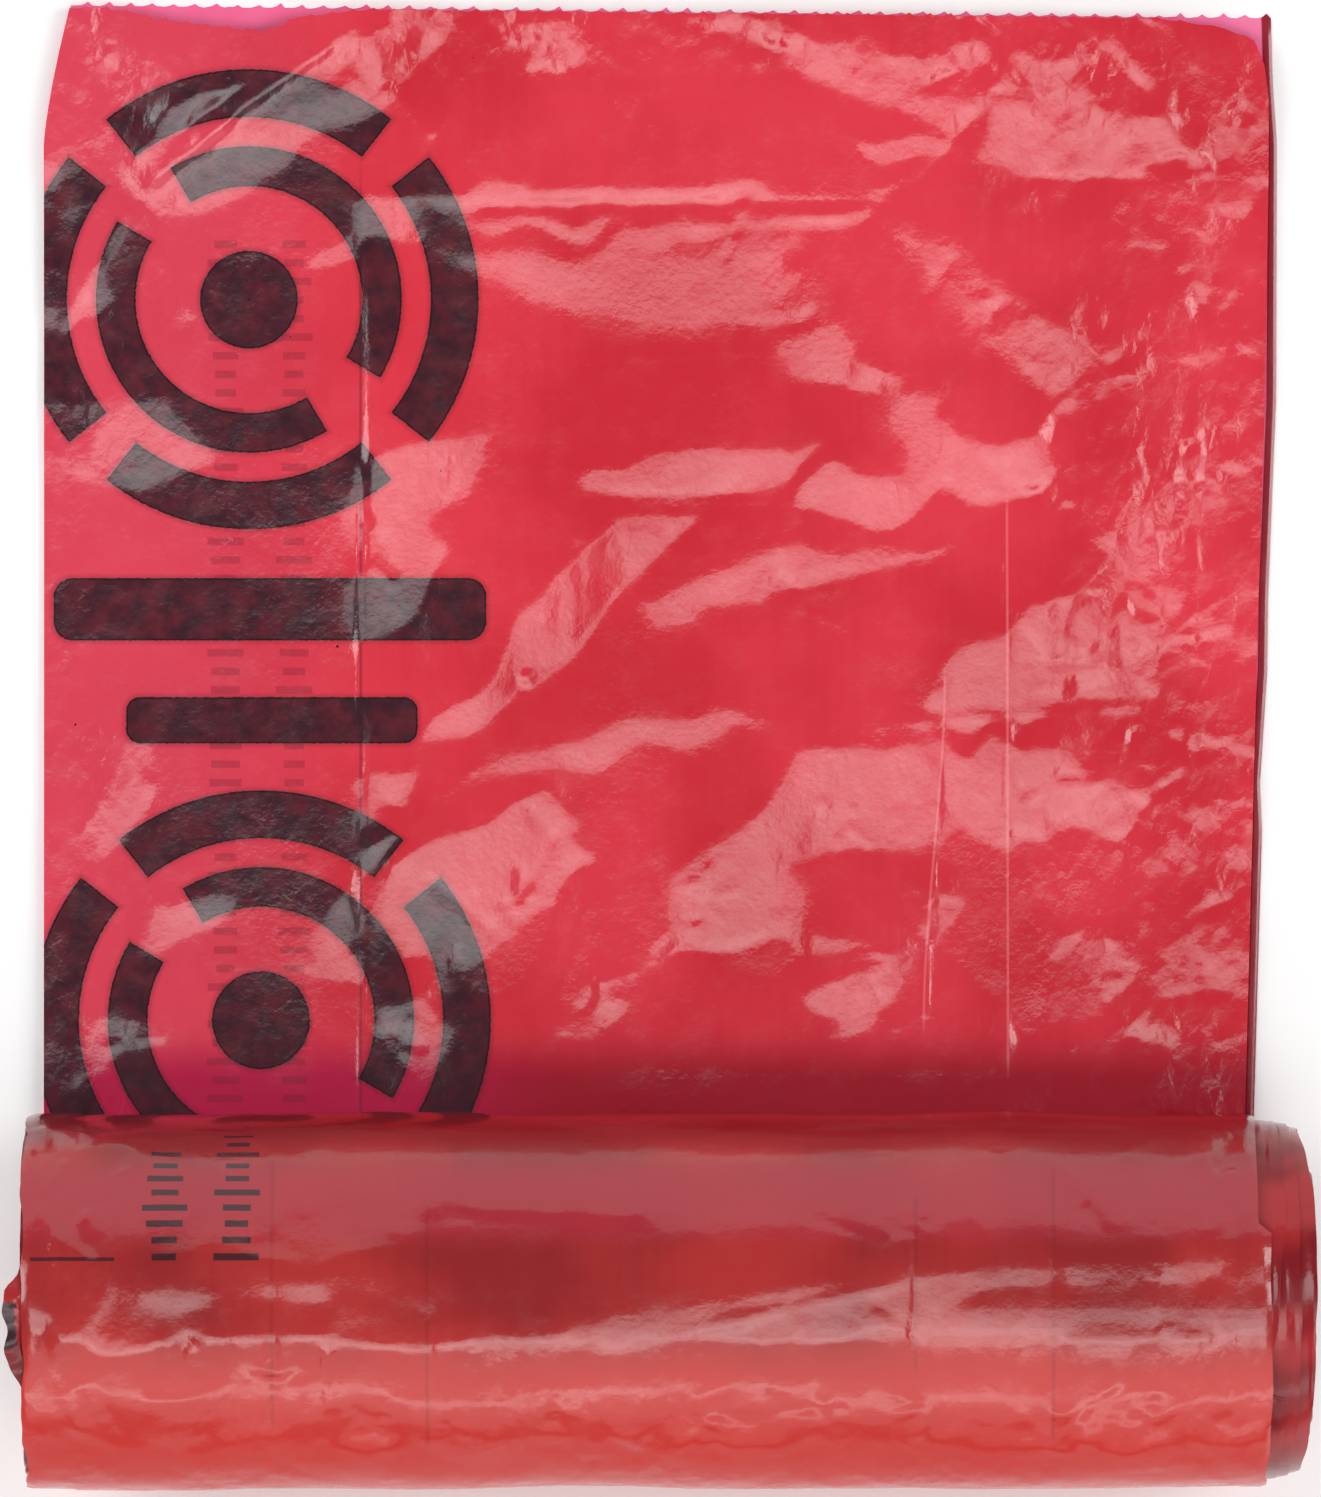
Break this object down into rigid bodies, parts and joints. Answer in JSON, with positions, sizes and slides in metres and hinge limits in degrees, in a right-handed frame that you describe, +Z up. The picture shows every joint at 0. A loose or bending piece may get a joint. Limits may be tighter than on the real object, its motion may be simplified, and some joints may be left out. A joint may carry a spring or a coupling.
{
  "type": "roll of plastic waste bags",
  "caption": "Coreless roll of folded red film waste bags lying on its side, with the first bag drawn out flat from under the roll to its torn perforated edge.",
  "frame": {"origin": "on the floor, under the middle of the object's box", "axes": "+Z up; +X along the roll, towards the end where the inner turns stand out; +Y the way the first bag is drawn out"},
  "size_m": [0.3146, 0.366, 0.088],
  "materials": {
    "red_film": "glossy translucent film, creased, with a dark printed pattern",
    "wound_film": "glossy film wound tight, with its folds and edges showing on the ends"
  },
  "bodies": {
    "root": {"lead_bag": "red_film", "wound_bags": "wound_film"}
  },
  "joints": []
}
